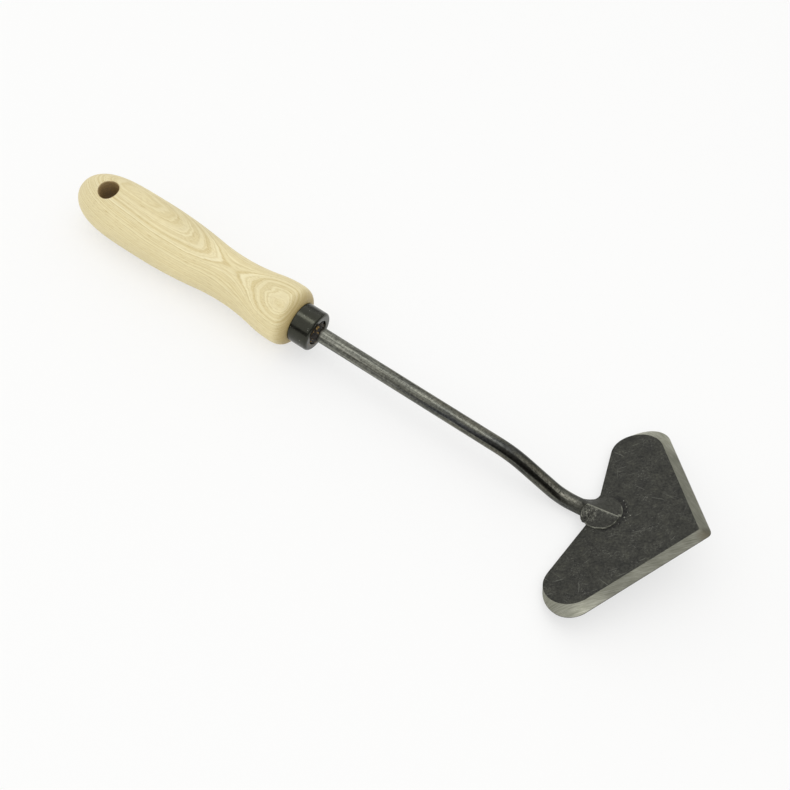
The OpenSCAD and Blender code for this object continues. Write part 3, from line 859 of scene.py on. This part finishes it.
# flat below, a low land, the ground slope ruled from edge to face, a soft top edge at the rear, and a face that
# is flat but for waves of 0.05 mm
def makeBlade():
    p = plate
    edge, face = makeOutlines()
    middle, soft = np.array(p["middle"]), p["topEdge"]
    steep = ease(np.linalg.norm(edge - face, axis=1), 1.2, 0.1)[:, None]

    def inward(loop, d):
        return loop + (middle - loop) / np.linalg.norm(middle - loop, axis=1, keepdims=True) * d

    def ring(flat, w):
        return np.concatenate([flat, np.broadcast_to(np.asarray(w, float).reshape(-1, 1), (len(flat), 1))], 1)

    def fan(loop, w, shares):
        return [ring(middle + (loop - middle) * share, w) for share in shares]

    low, high = -p["thick"], 0.0
    landTop = low + p["land"]
    under = fan(inward(edge, p["lowEdge"]), low, np.linspace(0, 1, 16))
    under = np.stack(under + [ring(edge, low + p["lowEdge"]), ring(edge, landTop)])
    start, stop = ring(edge, landTop), ring(face, high - soft * steep)
    ground = start[None] + (stop - start)[None] * np.linspace(0, 1, 9)[:, None, None]
    softEdge = np.stack([
        ring(inward(face, soft * (1 - math.cos(a)) * steep), high - soft * (1 - math.sin(a)) * steep)
        for a in np.radians([0, 30, 60, 90])])
    topFace = np.stack([softEdge[-1]] + fan(inward(face, soft * steep), high, np.linspace(1, 0, 40)[1:]))
    x, y, z = (topFace[1:, :, k] for k in range(3))
    z += p["wave"] * lumps(x, y, p["waveLength"], 21) * ease(np.abs(z), 0.2, 0.0)
    onBlade = lambda points: fromBlade(points[..., 0], points[..., 1], points[..., 2])
    return [band(onBlade(points), points, finish=int(points is ground))
            for points in (under, ground, softEdge, topFace)]


# Hot-rolled plate: grey-green black scale, mottled 3 to 8 mm across, with pale specks 0.5 mm wide, hairline
# scratches, and a dark line round the forged palm, part soot and part painted shade. A hairline's numbers are
# its turn in degrees, the width of its rows, the length of its pieces and its bend in mm, and the share of
# pieces left out. Real ones are 0.1 mm wide, these are drawn 0.2 mm.
plateScale = dict(hairlines=((18, 1.7, 9.0, 6.0, 0.965), (-38, 2.1, 6.0, 5.0, 0.955),
                             (74, 2.3, 11.0, 9.0, 0.975), (128, 1.9, 4.0, 14.0, 0.95)),
                  sootShadeMiddle=(2.3, 0.4, 0), sootShadeR=11.6)


def makeScale():
    q = plateScale
    scale, add, skin = startFinish("millScale", **{"Specular IOR Level": 0.22})
    own = add("Attribute", (), "ownFrame").outputs["Vector"]
    place = add("VectorMath", (own, 1000), "SCALE")
    mottle = add("TexNoise", (place, 0.16, 8, 0.66))
    tone = setRamp(add("ValToRGB", (mottle,)),
                   (0.32, "282825"), (0.46, "30302B"), (0.58, "373731"), (0.72, "434339"))
    grain = add("TexNoise", (place, 0.75, 6, 0.78))
    speck = add("MapRange", (grain, 0.35, 0.7, 0.42, 1.95))
    colour = add("VectorMath", (tone, speck), "SCALE")
    # pale marks, of which the strongest shows. Hairlines: rows cut into lengths, a bent line here and there
    marks = []
    bend = add("TexNoise", (place, 0.05, 2))
    for degrees, row, length, bendBy, leftOut in q["hairlines"]:
        turned = add("Mapping", {"Vector": place, "Rotation": (0, 0, math.radians(degrees))})
        a, b, _ = add("SeparateXYZ", (turned,)).outputs
        b = add("Math", (bend, bendBy, b), "MULTIPLY_ADD")
        b = add("Math", (b, row), "DIVIDE")
        rowIndex = add("Math", (b,), "FLOOR")
        shift = add("TexWhiteNoise", (rowIndex,), "1D")
        a = add("Math", (a, length), "DIVIDE")
        a = add("Math", (shift, 9, a), "MULTIPLY_ADD")
        pieceIndex = add("Math", (a,), "FLOOR")
        cell = add("CombineXYZ", (rowIndex, pieceIndex, degrees))
        luck = add("TexWhiteNoise", (cell,), "3D")
        height, deep, _ = add("SeparateColor", (luck.outputs["Color"],)).outputs
        shown = add("Math", (luck, leftOut), "GREATER_THAN")
        inRow = add("Math", (b,), "FRACT")
        off = add("Math", (inRow, add("MapRange", (height, 0, 1, 0.2, 0.8))), "SUBTRACT")
        off = add("Math", (off,), "ABSOLUTE")
        scratch = add("MapRange", (off, 0.025, 0.09, 1, 0))
        ends = add("MapRange", (add("Math", (a, 0.5), "PINGPONG"), 0.02, 0.3))
        for share in (shown, ends, add("MapRange", (deep, 0, 1, 0.15, 0.75))):
            scratch = add("Math", (scratch, share), "MULTIPLY")
        marks.append(scratch)
    dots = add("TexVoronoi", (place, 0.42))
    dot = add("MapRange", (dots, 0.07, 0.13, 0.6, 0))
    pick = add("SeparateColor", (dots.outputs["Color"],)).outputs[1]
    rare = add("Math", (pick, 0.78), "GREATER_THAN")
    marks.append(add("Math", (dot, rare), "MULTIPLY"))
    # scuffed places 5 to 10 mm across, where the scale is rubbed pale in small grains
    patch = add("MapRange", (add("TexNoise", (place, 0.11, 2)), 0.45, 0.64))
    rub = add("MapRange", (add("TexNoise", (place, 1, 5, 0.75)), 0.52, 0.7, 0, 0.85))
    marks.append(add("Math", (rub, patch), "MULTIPLY"))
    strongest = marks[0]
    for mark in marks[1:]:
        strongest = add("Math", (strongest, mark), "MAXIMUM")
    faded = add("Math", (strongest, 0.6), "MULTIPLY")
    colour = add("Mix", (faded, colour, "8F8F86"), "RGBA")
    # a blotchy dark line 1 mm outside the palm's toe, part soot and part painted shade beside the raised palm
    fromPalm = add("VectorMath", (place, q["sootShadeMiddle"]), "DISTANCE")
    off = add("Math", (fromPalm, q["sootShadeR"]), "SUBTRACT")
    off = add("Math", (off,), "ABSOLUTE")
    sootAndShade = add("MapRange", (off, 0.5, 2, 1, 0), "SMOOTHSTEP")
    ahead, _, height = add("SeparateXYZ", (place,)).outputs
    upper = add("MapRange", (height, -1.5, -0.5))
    toeSide = add("MapRange", (ahead, 4, 9))
    blotch = add("MapRange", (grain, 0.4, 0.6, 1, 0.4))
    for share in (toeSide, blotch, upper):
        sootAndShade = add("Math", (sootAndShade, share), "MULTIPLY")
    colour = add("Mix", (sootAndShade, colour, "10100F"), "RGBA")
    gloss = add("MapRange", (mottle, 0.3, 0.7, 0.62, 0.48))
    relief = add("Math", (mottle, grain), "ADD")
    bump = add("Bump", {"Strength": 0.3, "Distance": 0.0001, "Height": relief})
    fillNode(skin, {"Base Color": colour, "Roughness": gloss, "Normal": bump})
    return scale


# Steel ground on a belt: bright grey with fine lines slanted 18 degrees, drawn 0.3 mm apart, and a dull straw
# tint near the tip from the heat of grinding. The right facet carries painted shade and the wings a painted
# highlight.
beltGrind = dict(slant=18, lines=(3.6, 0.13, 0.4), tip=(54.0, -1.5, -2.0), heatR=6.0, wingLightFrom=44.0,
                 wingLightTo=57.0)


def makeGround():
    q = beltGrind
    ground, add, skin = startFinish("beltGroundSteel", Metallic=0.75)
    own = add("Attribute", (), "ownFrame").outputs["Vector"]
    place = add("VectorMath", (own, 1000), "SCALE")
    folded = add("VectorMath", (place,), "ABSOLUTE")
    x, y, z = add("SeparateXYZ", (place,)).outputs
    yFold = add("SeparateXYZ", (folded,)).outputs[1]
    lineTurn = math.radians(plate["edgeAngle"] - 90 - q["slant"])
    turned = add("Mapping", {"Vector": add("CombineXYZ", (x, yFold, z)), "Rotation": (0, 0, lineTurn)})
    lines = add("TexNoise", (add("VectorMath", (turned, q["lines"]), "MULTIPLY"), 1, 5, 0.65))
    tone = setRamp(add("ValToRGB", (lines,)),
                   (0.3, "69695D"), (0.45, "7A7A6D"), (0.58, "89897D"), (0.72, "9C9C92"))
    level = add("MapRange", (add("TexNoise", (place, 0.12, 3)), 0.3, 0.7, 0.86, 1.1))
    # painted shade on the right facet and a painted highlight on the wings: the right facet darker, the wings
    # lighter
    right = add("MapRange", (y, -4, 2, 0.66, 1))
    wingHighlight = add("MapRange", (yFold, q["wingLightFrom"], q["wingLightTo"], 1, 1.8))
    for share in (right, wingHighlight):
        level = add("Math", (level, share), "MULTIPLY")
    colour = add("VectorMath", (tone, level), "SCALE")
    fromTip = add("VectorMath", (place, q["tip"]), "DISTANCE")
    heat = add("MapRange", (fromTip, 0.5, q["heatR"], 0.85, 0), "SMOOTHSTEP")
    colour = add("Mix", (heat, colour, "5B5648"), "RGBA")
    gloss = add("MapRange", (lines, 0.3, 0.7, 0.5, 0.4))
    bump = add("Bump", {"Strength": 0.25, "Distance": 0.00006, "Height": lines})
    fillNode(skin, {"Base Color": colour, "Roughness": gloss, "Normal": bump})
    return ground


millScale, beltGround = makeScale(), makeGround()
groundBlade = addPiece("groundBlade", makeBlade(), [millScale, beltGround], 14)
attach(groundBlade, "root")
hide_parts("blade")

# Weld beads where the palm's rim crosses the blade's rear edge, and spatter at the palm's toe
# arcs in blade coordinates: middle, radius, from and to in degrees, thickness, height and roughness
rightBead = dict(middle=(3.2, -1.4), r=8.9, start=-128, stop=-163, thick=0.8, height=1.3, rough=0.16, seed=31)
leftBead = dict(middle=(-6.8, 11.75), r=5.3, start=-74, stop=20, thick=0.85, height=-0.6, rough=0.03, seed=41)
# each drop of spatter: how far forward and left on the blade, and its radius
drops = ((14.6, -0.4, 0.5), (14.9, 3.2, 0.26), (13.2, 6.3, 0.36), (15.9, -1.9, 0.22), (16.9, 1.4, 0.3),
         (12.0, 8.1, 0.22), (13.4, -4.9, 0.26), (17.9, -3.3, 0.2), (10.4, 9.9, 0.3), (3.4, -12.2, 0.24),
         (-0.5, -11.6, 0.28))


# a tube of changing radius along an arc, r = thick (1 - t^4)^0.5, roughened by lumps
def makeBead(b):
    t = np.sin(np.linspace(-math.pi / 2, math.pi / 2, 40))[:, None]
    a = np.radians(b["start"] + (b["stop"] - b["start"]) * (t + 1) / 2)
    phi = fullTurn(40)[None]
    coarse = lumps(t * 4, np.cos(phi) * 1.5, 0.7, b["seed"])
    bumps = coarse + 0.6 * lumps(t * 4, np.sin(phi) * 1.5, 0.33, b["seed"] + 1)
    r = b["thick"] * np.sqrt(1 - t ** 4) * (1 + b["rough"] * bumps)
    out, w = b["r"] + r * np.cos(phi), b["height"] + r * np.sin(phi)
    u, v = b["middle"][0] + out * np.cos(a), b["middle"][1] + out * np.sin(a)
    return [band(fromBlade(u, v, w), np.stack(np.broadcast_arrays(u, v, w), -1) + [seatAlong, 0, 0])]


# small domes sunk in the face: r^2 = x^2 + y^2 + (1.3 z)^2, each radius drawn within 12 per cent
def makeSpatter():
    draws = np.random.default_rng(8)
    bands = []
    a, e = fullTurn(12)[None], np.radians(np.linspace(-90, 90, 9))[:, None]
    for u, v, r in drops:
        r = r * (1 + 0.12 * draws.uniform(-1, 1))
        dome = (u + r * np.cos(a) * np.cos(e), v + r * np.sin(a) * np.cos(e), 0.12 * r + r / 1.3 * np.sin(e))
        bands.append(band(fromBlade(*dome), np.stack(np.broadcast_arrays(*dome), -1)))
    return bands


# Weld metal: rough grey, mottled pale and dark 0.7 mm across
def makeWeld():
    weld, add, skin = startFinish("weldMetal", **{"Specular IOR Level": 0.3})
    own = add("Attribute", (), "ownFrame").outputs["Vector"]
    grain = add("TexNoise", (add("VectorMath", (own, 1000), "SCALE"), 1.4, 5, 0.7))
    tone = setRamp(add("ValToRGB", (grain,)),
                   (0.3, "2E2E2A"), (0.46, "5C5C54"), (0.6, "8E8E84"), (0.75, "AEAEA4"))
    gloss = add("MapRange", (grain, 0, 1, 0.65, 0.4))
    bump = add("Bump", {"Strength": 0.4, "Distance": 0.0001, "Height": grain})
    fillNode(skin, {"Base Color": tone, "Roughness": gloss, "Normal": bump})
    return weld


weldMetal = makeWeld()
beadRight = addPiece("weldBeadRight", makeBead(rightBead), [forgedScale])
beadLeft = addPiece("weldBeadLeft", makeBead(leftBead), [forgedScale])
spatter = addPiece("weldSpatter", makeSpatter(), [weldMetal])
for piece, node in ((beadRight, "weld_right"), (beadLeft, "weld_left"), (spatter, None)):
    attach(piece, "root")
    if node:
        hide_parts(node)
